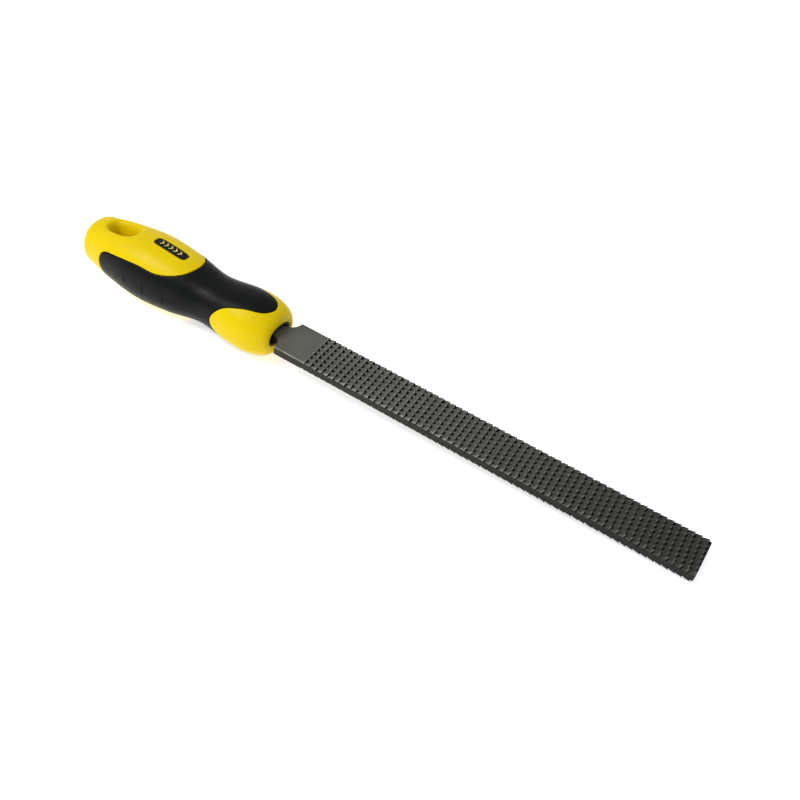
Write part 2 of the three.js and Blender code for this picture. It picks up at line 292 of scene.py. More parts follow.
def plan_to_skin(x, y):
    """Skin coordinates of a point given in plan, away from the rounded ends."""
    width, _ = half_sizes(x)
    share = np.clip(np.abs(y) / width, 0, 1) ** (SECTION_EXPONENT / 2)
    v = np.arccos(share) * SKIN_RADIUS
    v[np.abs(y) < 1e-9] = SKIN_TOP
    return np.stack([np.asarray(x, dtype=float), v], axis=1)


def edge_curve(knots):
    """Fine polyline on the skin along the grip's edge, square to the side and top lines."""
    short_of_top = 89.999
    knots = np.array(knots, dtype=float)
    first, last = knots[1] * [1, -1], knots[-2] * [1, -1] + [0, 180]
    padded = np.vstack([first, knots, last])
    places = 1 + np.arange((len(knots) - 1) * SAMPLES_PER_KNOT + 1) / SAMPLES_PER_KNOT
    x, degrees = (catmull_rom(padded[:, k], places) for k in (0, 1))
    width, height = half_sizes(x)
    slope = width / height * np.tan(np.radians(np.clip(degrees, 0, short_of_top)))
    v = np.arctan(slope ** (SECTION_EXPONENT / 2)) * SKIN_RADIUS
    v[0], v[-1] = 0.0, SKIN_TOP
    return np.stack([x, v], axis=1)


def offset_curve(curve, distance):
    """The curve moved sideways on the skin, towards +u for a positive distance."""
    tangent = np.gradient(curve, axis=0)
    tangent[0], tangent[-1] = (0, 1), (0, 1)
    tangent /= np.linalg.norm(tangent, axis=1, keepdims=True)
    moved = curve + distance * np.stack([tangent[:, 1], -tangent[:, 0]], axis=1)
    moved[0, 1], moved[-1, 1] = 0.0, SKIN_TOP
    return moved


def distance_to(points, curve):
    """Distance of each skin point to a polyline."""
    a, b = curve[:-1], curve[1:]
    span = b - a
    squared_length = np.maximum((span ** 2).sum(axis=1), ROUNDING)
    reach = points[:, None, :] - a[None]
    share = np.clip((reach * span[None]).sum(axis=2) / squared_length[None], 0, 1)
    near = a[None] + share[:, :, None] * span[None]
    return np.sqrt(((points[:, None, :] - near) ** 2).sum(axis=2)).min(axis=1)


def edge_drop(distance, radius):
    """How far a rounded edge has fallen below the surface, at a distance in from the edge."""
    into = np.clip(distance, 0, radius)
    return radius - np.sqrt(np.maximum(radius ** 2 - (radius - into) ** 2, 0))


# ---- One quarter of the handle's skin as triangles ----

def underside(knots):
    """The back panel's edge under the handle: narrower than on top, from the same start."""
    narrower = [(x, 90 - (90 - degrees) * UNDERSIDE_PANEL_SHARE) for x, degrees in knots[1:]]
    return knots[:1] + narrower


top_edges = {"back": edge_curve(BACK_EDGE), "front": edge_curve(FRONT_EDGE)}
bottom_edges = {"back": edge_curve(underside(BACK_EDGE)), "front": top_edges["front"]}


def plan_outline(centre_x, half, exponent, count):
    """Half of an oval round the top line, as skin coordinates."""
    a, b = oval(half[0], half[1], exponent, count, half_turn=True)
    return plan_to_skin(centre_x + a, b)


def skin_chains(edges, with_label):
    """Polylines that the triangles follow: seams, hang hole, grooves and the label's pocket."""
    chains = {}
    for side, edge in edges.items():
        for sign in (-1, 1):
            for ring in SEAM_RINGS:
                distance = sign * (SEAM_HALF_GAP + ring)
                chains[side, sign, ring] = offset_curve(edge, distance)
    chains["hole"] = plan_outline(HOLE_X, HOLE_RIM, HOLE_EXPONENT, HOLE_RIM_SAMPLES)
    for x, half_angle in GROOVES:
        reach = math.radians(half_angle + GROOVE_RUN_ON_DEGREES) * SKIN_RADIUS
        for shift in GROOVE_LINES:
            v = np.arange(0, reach, GROOVE_LINE_STEP)
            u = np.full(len(v), x + shift * GROOVE_HALF_WIDTH)
            chains["groove", x, shift] = np.stack([u, v], axis=1)
    if with_label:
        for ring in LABEL_RINGS:
            outline = (LABEL_POCKET[0] + ring, LABEL_POCKET[1] + ring)
            chains["label", ring] = plan_outline(LABEL_X, outline, LABEL_EXPONENT, LABEL_SAMPLES)
    return chains


def skin_grid(chains):
    """Points in even, staggered rows between the polylines and along the quarter's borders."""
    us = np.linspace(SKIN_START, SKIN_END, int((SKIN_END - SKIN_START) / SKIN_STEP) + 1)
    vs = np.linspace(0, SKIN_TOP, int(SKIN_TOP / SKIN_STEP) + 1)
    rows = []
    for row, v in enumerate(vs):
        inner = 0 < row < len(vs) - 1
        shift = SKIN_STEP / 2 if row % 2 and inner else 0.0
        line = np.clip(us + shift, SKIN_START, SKIN_END)
        if inner:
            line[0] = SKIN_START
        line = np.unique(line)
        rows.append(np.stack([line, np.full(len(line), v)], axis=1))
    points = np.vstack(rows)
    keep = np.ones(len(points), dtype=bool)
    at_end = (points[:, 0] <= SKIN_START) | (points[:, 0] >= SKIN_END)
    for chain in chains.values():
        keep &= distance_to(points, chain) > LINE_CLEARANCE
    for border in (0.0, SKIN_TOP):
        on_border = points[:, 1] == border
        ends = [end[0] for chain in chains.values() for end in (chain[0], chain[-1]) if end[1] == border]
        gaps = np.abs(points[:, 0][:, None] - np.array(ends)[None]).min(axis=1)
        keep[on_border] = gaps[on_border] > LINE_CLEARANCE
    return points[keep | at_end]


def triangulate(chains):
    """The quarter's points and triangles, and which points lie along each polyline."""
    length_tolerance = 1e-7
    coordinates, edges, places = [], [], {}
    for key, chain in chains.items():
        start = len(coordinates)
        coordinates.extend(map(tuple, chain))
        edges.extend((start + i, start + i + 1) for i in range(len(chain) - 1))
        places[key] = range(start, start + len(chain))
    coordinates.extend(map(tuple, skin_grid(chains)))
    vertices, _, found_faces, sources_of_vertices, _, _ = delaunay_2d_cdt(
        [Vector(c) for c in coordinates], edges, [], 0, length_tolerance
    )
    points = np.array([tuple(v) for v in vertices])
    triangles = np.array([f for f in found_faces if len(f) == 3])
    found = {source: i for i, sources in enumerate(sources_of_vertices) for source in sources}
    indices = {key: [found[i] for i in place] for key, place in places.items()}
    return points, triangles, indices


def region_names(points, triangles, chains, with_label):
    """The region each triangle is in: hard, soft, gap between them, hole or label."""
    middle = points[triangles].mean(axis=1)
    plan = skin_point(middle[:, 0], middle[:, 1])

    def beside(side, sign):
        curve = chains[side, sign, SEAM_RINGS[0]]
        return np.interp(middle[:, 1], curve[:, 1], curve[:, 0])

    def inside(centre_x, half, exponent):
        a, b = np.abs(plan[:, 0] - centre_x) / half[0], np.abs(plan[:, 1]) / half[1]
        return a ** exponent + b ** exponent < 1

    names = np.full(len(triangles), "gap", dtype=object)
    names[middle[:, 0] < beside("back", -1)] = "hard"
    names[middle[:, 0] > beside("front", 1)] = "hard"
    names[(middle[:, 0] > beside("back", 1)) & (middle[:, 0] < beside("front", -1))] = "soft"
    names[inside(HOLE_X, HOLE_RIM, HOLE_EXPONENT) & (plan[:, 2] > 0)] = "hole"
    if with_label:
        names[inside(LABEL_X, LABEL_POCKET, LABEL_EXPONENT)] = "label"
    return names


def skin_quarter(panel_edges, with_label):
    """A quarter of the skin in triangles, with their regions and the polylines they follow."""
    chains = skin_chains(panel_edges, with_label)
    points, triangles, indices = triangulate(chains)
    return points, triangles, region_names(points, triangles, chains, with_label), indices, chains


def seam_distance(points, sign_back, sign_front, chains):
    """Distance in from the seam's two edges on one side of them."""
    back = distance_to(points, chains["back", sign_back, SEAM_RINGS[0]])
    front = distance_to(points, chains["front", sign_front, SEAM_RINGS[0]])
    return np.minimum(back, front)


def triangle_edges(triangle):
    """The triangle's three sides, each the same whichever way round it is taken."""
    a, b, c = triangle
    return frozenset((a, b)), frozenset((b, c)), frozenset((c, a))


def two_level_shell(triangles, region, levels, upper, lower):
    """Joins triangles at two depths: regions at "up" use upper points, "down" lower ones.

    Regions without a level are left out. Where an up region meets a down one, a wall of quads
    closes the step."""
    count = len(upper)
    points = np.vstack([upper, lower])
    faces, edge_level = [], {}
    for triangle, name in zip(triangles, region):
        level = levels.get(name)
        if level is None:
            continue
        shift = 0 if level == "up" else count
        faces.append(tuple(triangle + shift))
        for edge in triangle_edges(triangle):
            edge_level.setdefault(edge, []).append(level)
    for edge, found in edge_level.items():
        if len(found) == 2 and found[0] != found[1]:
            a, b = edge
            faces.append((a, b, b + count, a + count))
    return points, faces


def extend_shell(points, faces, border, rows):
    """Adds rows of points to a shell's lists, with quads that start from its border points."""
    places = list(border) + list(range(len(points), len(points) + len(rows) * len(border)))
    for row in rows:
        points.extend(row)
    faces.extend(tuple(places[i] for i in face) for face in grid_faces(len(rows) + 1, len(border)))


def sink(points, normals, depth):
    """The points moved in from the surface, each by its own depth."""
    return points - normals * np.asarray(depth)[:, None]


def mirrored(upper, lower):
    """Puts two quarter shells, both given for the upper left of the handle, into four places."""
    points, faces = [], []
    for (quarter_points, quarter_faces), z_side in ((upper, 1), (lower, -1)):
        for y_side in (1, -1):
            start = len(points)
            points.extend(quarter_points * np.array([1, y_side, z_side]))
            faces.extend(tuple(i + start for i in face) for face in quarter_faces)
    return np.array(points), faces


def hole_rows(rim_points):
    """Rows from the hang hole's rim, rolling over into a straight wall to the handle's middle."""
    plan = rim_points[:, :2] - [HOLE_X, 0]
    rows = []
    for turn in np.linspace(0, math.pi / 2, 10)[1:]:
        flare = HOLE_FLARE * (1 - math.sin(turn))
        half = (HOLE_HALF[0] + flare, HOLE_HALF[1] + flare)
        row = plan * [half[0] / HOLE_RIM[0], half[1] / HOLE_RIM[1]] + [HOLE_X, 0]
        z = surface_z(row[:, 0], row[:, 1]) - HOLE_FLARE_DEPTH * (1 - math.cos(turn))
        rows.append(np.column_stack([row, z]))
    below_flare = rows[-1]
    return rows + [below_flare * [1, 1, share] for share in (0.75, 0.5, 0.25, 0.0)]


def mouth_rows(nose_row):
    """Rows from the nose's last loop over the mouth's lip and down its bore, to a closed end."""
    depths_and_scales = [(6, 1), (20, 1), (MOUTH_DEPTH, 1), (MOUTH_DEPTH, 0)]
    count = len(nose_row)
    angles = np.linspace(0, math.pi / 2, count)
    bore_y = MOUTH_HALF[0] * np.cos(angles) ** (2 / SECTION_EXPONENT)
    bore_z = MOUTH_HALF[1] * np.sin(angles) ** (2 / SECTION_EXPONENT)
    bore_y[-1] = 0.0
    bore = np.stack([np.full(count, NOSE_X), bore_y, bore_z], axis=1)
    rows = []
    for turn in np.linspace(0, math.pi / 2, 8)[1:]:
        row = nose_row + (bore - nose_row) * math.sin(turn)
        row[:, 0] = NOSE_X - MOUTH_LIP * (1 - math.cos(turn))
        rows.append(row)
    for depth, scale in depths_and_scales:
        row = bore * [1, scale, scale]
        row[:, 0] = NOSE_X - depth
        rows.append(row)
    return rows


def core_quarter(panel_edges, with_label):
    """Hard core: panels at the surface, recess for the grip, hang hole and mouth."""
    points, triangles, region, indices, chains = skin_quarter(panel_edges, with_label)
    surface, normals = skin_point(points[:, 0], points[:, 1]), skin_normal(points[:, 0], points[:, 1])
    drop = edge_drop(seam_distance(points, -1, 1, chains), HARD_EDGE_RADIUS)
    depth = np.full(len(points), RECESS_DEPTH)
    if with_label:
        from_pocket = distance_to(points, chains["label", LABEL_RINGS[0]])
        drop = np.maximum(drop, edge_drop(from_pocket, POCKET_EDGE_RADIUS))
        round_label = 1.0
        near_x = np.abs(points[:, 0] - LABEL_X) < LABEL_HALF[0] + round_label
        depth[near_x & (surface[:, 1] < LABEL_HALF[1] + round_label)] = LABEL_DEPTH
    levels = {"hard": "up", "soft": "down", "gap": "down", "label": "down"}
    shell, faces = two_level_shell(
        triangles, region, levels, sink(surface, normals, drop), sink(surface, normals, depth)
    )
    shell = list(shell)
    rim = indices["hole"]
    extend_shell(shell, faces, rim, hole_rows(surface[rim]))
    at_nose = np.where(points[:, 0] >= SKIN_END - SAME_PLACE)[0]
    at_nose = at_nose[np.argsort(points[at_nose, 1])]
    extend_shell(shell, faces, at_nose, mouth_rows(surface[at_nose]))
    return np.array(shell), faces


def groove_depth(points):
    """How deep the grip's grooves are at each skin point: rounded, fading out at their ends."""
    depth = np.zeros(len(points))
    for x, half_angle in GROOVES:
        end = math.radians(half_angle) * SKIN_RADIUS
        fade = smooth((end - points[:, 1]) / GROOVE_FADE)
        across = np.clip(1 - ((points[:, 0] - x) / GROOVE_HALF_WIDTH) ** 2, 0, 1)
        depth = np.maximum(depth, GROOVE_DEPTH * fade * across)
    return depth


def grip_quarter(panel_edges):
    """Soft sleeve: rounded towards its seams, grooved on its sides, open inside for the core."""
    points, triangles, region, _, chains = skin_quarter(panel_edges, False)
    surface, normals = skin_point(points[:, 0], points[:, 1]), skin_normal(points[:, 0], points[:, 1])
    drop = edge_drop(seam_distance(points, 1, -1, chains), SOFT_EDGE_RADIUS) + groove_depth(points)
    outer = sink(surface, normals, drop)
    inner = sink(surface, normals, np.full(len(points), GRIP_THICKNESS))
    count = len(points)
    faces, uses = [], {}
    for triangle, name in zip(triangles, region):
        if name != "soft":
            continue
        faces.append(tuple(triangle))
        faces.append(tuple(triangle[::-1] + count))
        for edge in triangle_edges(triangle):
            uses[edge] = uses.get(edge, 0) + 1
    on_border = (points[:, 1] < SAME_PLACE) | (points[:, 1] > SKIN_TOP - SAME_PLACE)
    for edge, used in uses.items():
        a, b = edge
        if used == 1 and not (on_border[a] and on_border[b]):
            faces.append((a, b, b + count, a + count))
    return np.vstack([outer, inner]), faces


def handle_core(material):
    """Hard yellow moulding that runs from the butt to the nose, under the grip."""
    points, faces = mirrored(core_quarter(top_edges, True), core_quarter(bottom_edges, False))
    piece = mesh_object("handle_core_shell", points, faces, material)
    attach(piece, BODY)
    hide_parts("handle_core")


def grip(material):
    """Soft black sleeve moulded round the core."""
    points, faces = mirrored(grip_quarter(top_edges), grip_quarter(bottom_edges))
    piece = mesh_object("grip_sleeve", points, faces, material)
    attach(piece, BODY)
    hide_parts("grip")


# ---- Tang socket ----

def tang_socket(material):
    """Black liner: an oval tube with a rounded front lip, a cup behind it and a slot for the tang."""
    count, slot_exponent = 96, 6.0
    front = (socket_high[0] - SHOULDER_X) / MM
    back = (socket_low[0] - SHOULDER_X) / MM
    outer = (socket_high[1] / MM, socket_high[2] / MM)
    wall, lip, cup_depth, end_wall = 0.8, 0.35, 6.0, 2.0
    slot_mouth, slot_end = (5.0, 2.5), (2.6, 2.5)
    inner = (outer[0] - wall, outer[1] - wall)
    rows = [(back, outer, SECTION_EXPONENT), (front - lip, outer, SECTION_EXPONENT)]
    for turn in np.linspace(0, math.pi, 9)[1:-1]:
        inset = wall / 2 * (1 - math.cos(turn))
        half = (outer[0] - inset, outer[1] - inset)
        rows.append((front - lip + lip * math.sin(turn), half, SECTION_EXPONENT))
    rows += [
        (front - lip, inner, SECTION_EXPONENT),
        (front - cup_depth, inner, SECTION_EXPONENT),
        (front - cup_depth, slot_mouth, slot_exponent),
        (back + end_wall, slot_end, slot_exponent),
    ]
    loops = []
    for x, half, exponent in rows:
        y, z = oval(half[0], half[1], exponent, count)
        loops.append(np.stack([np.full(count, x), y, z], axis=1))
    points, faces = loft(loops, capped=True)
    piece = mesh_object("tang_socket_liner", points, faces, material)
    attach(piece, BODY)
    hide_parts("tang_socket")


# ---- Label ----

def label_plate(plate_material, mark_material):
    """Plain oblong plate that follows the handle's top, with five raised chevrons and no lettering."""
    count, edge_radius, depth = 128, 0.18, 0.75
    # Rings from the middle of the top to that of the underside: share of the plan, growth, rise
    rings = [(share, 0.0, LABEL_LIFT) for share in (0.0, 0.25, 0.5, 0.75, 0.9)]
    for turn in np.linspace(0, math.pi / 2, 5):
        growth = -edge_radius * (1 - math.sin(turn))
        rings.append((1.0, growth, LABEL_LIFT - edge_radius * (1 - math.cos(turn))))
    rings += [(share, 0.0, -depth) for share in (1.0, 0.5, 0.0)]
    loops = []
    for share, growth, rise in rings:
        a, b = oval(LABEL_HALF[0] + growth, LABEL_HALF[1] + growth, LABEL_EXPONENT, count)
        a, b = a * share, b * share
        z = surface_z(LABEL_X + a, b) + rise
        loops.append(np.stack([LABEL_X + a, b, z], axis=1))
    points, faces = loft(loops, capped=False)
    plate = mesh_object("label_plate_plain", points, faces, plate_material)
    marks = chevrons(mark_material)
    for piece in (plate, marks):
        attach(piece, BODY)
    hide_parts("label_plate")


def chevron_outline(stroke, depth, reach):
    """Points round one chevron that points along x, each of its six sides in equal steps."""
    corners = [(0, -reach), (stroke, -reach), (stroke + depth, 0), (stroke, reach), (0, reach), (depth, 0)]
    steps = 4
    outline = []
    for (x0, y0), (x1, y1) in zip(corners, corners[1:] + corners[:1]):
        outline += [(x0 + (x1 - x0) * k / steps, y0 + (y1 - y0) * k / steps) for k in range(steps)]
    return np.array(outline)


def chevrons(material):
    """Five small raised chevrons in a row along the label."""
    number, pitch, stroke, depth, reach = 5, 2.6, 0.65, 1.0, 1.25
    rise, root = 0.14, 0.2
    outline = chevron_outline(stroke, depth, reach)
    size = len(outline)
    points, faces = [], []
    for i in range(number):
        start = len(points)
        x = outline[:, 0] + LABEL_X + (i - (number - 1) / 2) * pitch - (stroke + depth) / 2
        y = outline[:, 1]
        z = surface_z(x, y) + LABEL_LIFT
        points += list(np.stack([x, y, z - root], axis=1)) + list(np.stack([x, y, z + rise], axis=1))
        faces += [tuple(start + j for j in face) for face in grid_faces(2, size, closed=True)]
        for level in (start, start + size):
            faces += ladder(level, size)
    return mesh_object("label_chevrons", np.array(points), faces, material, weld=0.0001)


def ladder(first, size):
    """Faces that fill a ring of points by rungs from side to side, with a triangle at each end."""
    half = size // 2
    faces = [(first, first + 1, first + size - 1)]
    for j in range(1, half - 1):
        faces.append((first + j, first + j + 1, first + size - j - 1, first + size - j))
    faces.append((first + half - 1, first + half, first + half + 1))
    return faces


# ---- Blade ----

ROW_PITCH = 3.0
ROW_COUNT = 62
ROW_SLANT = math.tan(math.radians(3.0))
TOOTH_PITCH = 3.1
PLAIN_HEEL = 15.8
LAST_ROW_X = PLAIN_HEEL + (ROW_COUNT - 1) * ROW_PITCH
# Each row is shifted along itself by a share of the tooth pitch; the first few rows lag behind
FIRST_ROW_SHIFT = 0.67
ROW_SHIFT = 0.561
FIRST_ROWS_LAG = 0.44
LAG_LEFT_BY_NEXT_ROW = 0.42
COLUMNS_PER_TOOTH = 12
EDGE_CHAMFER = 0.4
TIP_RADIUS = 1.2
SHOULDER_RADIUS = 0.5
TANG_LENGTH = 50.0
TANG_NECK_HALF_WIDTH = 4.3
TANG_END_HALF_WIDTH = 1.8
TANG_FILLET = 6.0

# One punched tooth and the row it stands in. The row's back climbs towards the tip over
# TOOTH_BACK and drops at the cutting edge into a valley, deepest in each tooth's own pit
TOOTH_BACK = 1.5
TOOTH_HALF_WIDTH = 1.25
RIDGE_HEIGHT = 0.18
PIT_LENGTH = 1.5
PIT_DEPTH = 1.0
PIT_HALF_WIDTH = 1.25
VALLEY_DEPTH = 0.08
TOOTH_LEAN = 0.3
ROWS_TO_FULL_RIDGE = 30
TOOTH_SIZES = (0.72, 1.0)
LEAN_SHARES = (0.5, 1.5)
MOST_TEETH = 12
TOP_SEED, UNDERSIDE_SEED = 11, 12
# Exponents: how full a tooth and its pit are across the row, how hollow the row's back is in the
# middle and at the edges, and how steeply the pit falls behind the cutting edge
TOOTH_FULLNESS = 1.5
PIT_FULLNESS = 2.5
BACK_HOLLOW = 1.3
EDGE_BACK_HOLLOW = 2.0
PIT_FALL = 0.8
# Along both long edges every row ends in a burr that falls off to the side
BURR_START = 9.2
BURR_PEAK = 10.1
BURR_HEIGHT = 1.15
BURR_FALL = 1.3
BURR_LEAN = 0.25
EDGE_NOTCH = 0.45
BURR_SIZES = (0.75, 1.0)
FIRST_TOP_BURR, FIRST_UNDERSIDE_BURR = 1.0, 0.35
# Grid lines of one row along x, from a tooth's cutting edge at 0: close together at the edge
ROW_LINES = [-1.5, -1.24, -0.97, -0.7, -0.46, -0.24, -0.08, 0.0, 0.07, 0.24, 0.5, 0.8, 1.12, 1.45]


def arc_height(radius, from_centre):
    """Height of a circle's edge at a distance along its diameter from its centre."""
    return math.sqrt(max(0.0, radius ** 2 - from_centre ** 2))


def blade_half_width(x):
    """Half the width of blade or tang at x."""
    if x <= -TANG_FILLET:
        widening = TANG_NECK_HALF_WIDTH - TANG_END_HALF_WIDTH
        return TANG_END_HALF_WIDTH + widening * (x + TANG_LENGTH) / (TANG_LENGTH - TANG_FILLET)
    if x <= 0:
        return TANG_NECK_HALF_WIDTH + TANG_FILLET - arc_height(TANG_FILLET, x + TANG_FILLET)
    if x < SHOULDER_RADIUS:
        return BLADE_HALF_WIDTH - SHOULDER_RADIUS + arc_height(SHOULDER_RADIUS, SHOULDER_RADIUS - x)
    from_tip = BLADE_LENGTH - x
    if from_tip < TIP_RADIUS:
        return BLADE_HALF_WIDTH - (TIP_RADIUS - arc_height(TIP_RADIUS, TIP_RADIUS - from_tip))
    return BLADE_HALF_WIDTH


def blade_lines():
    """Grid lines along the blade: (x, row of teeth or None, place in the row)."""
    quarter = math.pi / 2
    plain = list(np.linspace(-TANG_LENGTH, -TANG_FILLET, 12))
    plain += [-TANG_FILLET + TANG_FILLET * math.sin(a) for a in np.linspace(0, quarter, 14)[1:]]
    plain += [SHOULDER_RADIUS * (1 - math.cos(a)) for a in np.linspace(0, quarter, 6)[1:]]
    plain += list(np.linspace(SHOULDER_RADIUS, PLAIN_HEEL + ROW_LINES[0], 24)[1:-1])
    lines = [(x, None, 0.0) for x in plain]
    for row in range(ROW_COUNT):
        start = PLAIN_HEEL + row * ROW_PITCH
        last = row == ROW_COUNT - 1
        lines += [(start + place, row, place) for place in ROW_LINES if not last or place <= 0]
    nearly_quarter = 1.35
    for a in np.linspace(0, nearly_quarter, 8)[1:]:
        beyond = TIP_RADIUS * math.sin(a)
        lines.append((LAST_ROW_X + beyond, ROW_COUNT - 1, beyond))
    return lines


def row_phase(row):
    """Where a row's teeth start, as a share of the tooth pitch."""
    return FIRST_ROW_SHIFT + ROW_SHIFT * row - FIRST_ROWS_LAG * LAG_LEFT_BY_NEXT_ROW ** row


def toothed_face(lines, ys, seed, first_burr):
    """Relief and forward lean of one face's grid: arrays of dx and dz, line by line.

    Burrs grow from the share first_burr of their height at the heel to all of it."""
    rng = np.random.default_rng(seed)
    sizes = rng.uniform(*TOOTH_SIZES, (ROW_COUNT, MOST_TEETH))
    burr_sizes = rng.uniform(*BURR_SIZES, (ROW_COUNT, 2))
    leans = rng.uniform(*LEAN_SHARES, (ROW_COUNT, MOST_TEETH)) * TOOTH_LEAN
    from_middle = np.abs(ys)
    at_edge = smooth((from_middle - BURR_START) / (BURR_PEAK - BURR_START))
    past_peak = np.clip(from_middle - BURR_PEAK, 0, None)
    hollow = BACK_HOLLOW + (EDGE_BACK_HOLLOW - BACK_HOLLOW) * at_edge
    dx, dz = np.zeros((len(lines), len(ys))), np.zeros((len(lines), len(ys)))
    for i, (_, row, place) in enumerate(lines):
        if row is None:
            continue
        teeth = ys / TOOTH_PITCH - row_phase(row) % 1
        number = np.rint(teeth).astype(int)
        off = np.abs(teeth - number) * TOOTH_PITCH
        number += MOST_TEETH // 2
        growth = min(1.0, row / ROWS_TO_FULL_RIDGE)
        if place <= 0:
            fullness = np.clip(1 - (off / TOOTH_HALF_WIDTH) ** TOOTH_FULLNESS, 0, 1)
            ridge = np.maximum(TOOTH_HEIGHT * sizes[row][number] * fullness, RIDGE_HEIGHT * growth)
            burr = BURR_HEIGHT * burr_sizes[row][(ys > 0).astype(int)]
            burr = burr * (first_burr + (1 - first_burr) * growth) - past_peak * BURR_FALL
            climb = 1 + place / TOOTH_BACK
            dz[i] = (ridge + (burr - ridge) * at_edge) * climb ** hollow
            dx[i] = dz[i] * (leans[row][number] + BURR_LEAN * at_edge)
        else:
            left = max(0.0, 1 - place / PIT_LENGTH)
            fullness = np.clip(1 - (off / PIT_HALF_WIDTH) ** PIT_FULLNESS, 0, 1)
            pit = PIT_DEPTH * sizes[row][number] * fullness
            valley = VALLEY_DEPTH * growth + (EDGE_NOTCH - VALLEY_DEPTH * growth) * at_edge
            dz[i] = -np.maximum(pit * left ** PIT_FALL, valley * left)
    return dx, dz


def row_shear(x):
    """Share of the rows' slant at x: none at the shoulders and the tip, full over the teeth."""
    rise = smooth(x / (PLAIN_HEEL + ROW_LINES[0]))
    fall = min(max((BLADE_LENGTH - x) / (BLADE_LENGTH - LAST_ROW_X), 0.0), 1.0)
    return ROW_SLANT * rise * fall


def blade_loop(x, shares, top, under):
    """One loop across the blade: its two faces, and between them the chamfered edges.

    top and under hold the forward lean and the relief of each face's points."""
    (top_dx, top_dz), (under_dx, under_dz) = top, under
    least_face_share, rim_follows = 0.6, 0.9
    half = blade_half_width(x)
    ys = shares * max(half - EDGE_CHAMFER, least_face_share * half)
    shear = row_shear(x)
    upper_face = np.stack([x - ys * shear + top_dx, ys, BLADE_HALF_THICKNESS + top_dz], axis=1)
    lower_face = np.stack([x + ys * shear + under_dx, ys, -BLADE_HALF_THICKNESS - under_dz], axis=1)

    def rim(y, column):
        """Chamfers' corners on one side wall, which rise and fall with the nearest relief."""
        flat = BLADE_HALF_THICKNESS - EDGE_CHAMFER
        upper = (x - y * shear + top_dx[column], y, flat + top_dz[column] * rim_follows)
        lower = (x + y * shear + under_dx[column], y, -flat - under_dz[column] * rim_follows)
        return [upper, (x, y, 0.0), lower]

    return np.vstack([upper_face, rim(half, -1), lower_face[::-1], rim(-half, 0)[::-1]])


def blade(material):
    """Bar, teeth and tang as one forging: loops across the blade, one at each grid line."""
    lines = blade_lines()
    pitch = TOOTH_PITCH / COLUMNS_PER_TOOTH
    columns_each_side = round((BLADE_HALF_WIDTH - EDGE_CHAMFER) / pitch)
    shares = np.arange(-columns_each_side, columns_each_side + 1) / columns_each_side
    ys_over_teeth = shares * columns_each_side * pitch
    top = toothed_face(lines, ys_over_teeth, TOP_SEED, FIRST_TOP_BURR)
    under = toothed_face(lines, ys_over_teeth, UNDERSIDE_SEED, FIRST_UNDERSIDE_BURR)
    loops = []
    for i, (x, _, _) in enumerate(lines):
        at_top, at_under = [grid[i] for grid in top], [grid[i][::-1] for grid in under]
        loops.append(blade_loop(x, shares, at_top, at_under))
    loops.append(tip_loop(shares))
    points, faces = loft(loops, capped=False)
    for first in (0, (len(loops) - 1) * len(loops[0])):
        faces += end_cap(first, len(shares))
    piece = mesh_object("blade_cut", points, faces, material, sharp_degrees=30.0)
    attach(piece, BODY)
    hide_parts("blade")


def tip_loop(shares):
    """Outline of the blade's flat end face, inside its chamfer, point for point a blade_loop."""
    corner_gap = 0.1
    half, rim_z = BLADE_HALF_WIDTH - TIP_RADIUS, BLADE_HALF_THICKNESS - EDGE_CHAMFER
    side_z = rim_z * 0.9
    ys = shares * (half - corner_gap)
    x = np.full(len(ys), BLADE_LENGTH)
    top = np.stack([x, ys, np.full(len(ys), rim_z)], axis=1)
    under = np.stack([x, ys[::-1], np.full(len(ys), -rim_z)], axis=1)
    left = [(BLADE_LENGTH, half, z) for z in (side_z, 0.0, -side_z)]
    right = [(BLADE_LENGTH, -half, z) for z in (-side_z, 0.0, side_z)]
    return np.vstack([top, left, under, right])


def end_cap(first, across):
    """Quads from the upper points of an end loop to the lower ones, with its sides closed."""
    rim_points = 3
    last_upper = first + across - 1
    last_lower = first + 2 * across + rim_points - 1
    faces = []
    for j in range(across - 1):
        faces.append((first + j, first + j + 1, last_lower - j - 1, last_lower - j))
    faces.append(tuple(range(last_upper, last_upper + rim_points + 2)))
    faces.append((*range(last_lower, last_lower + rim_points + 1), first))
    return faces


# ---- Materials ----

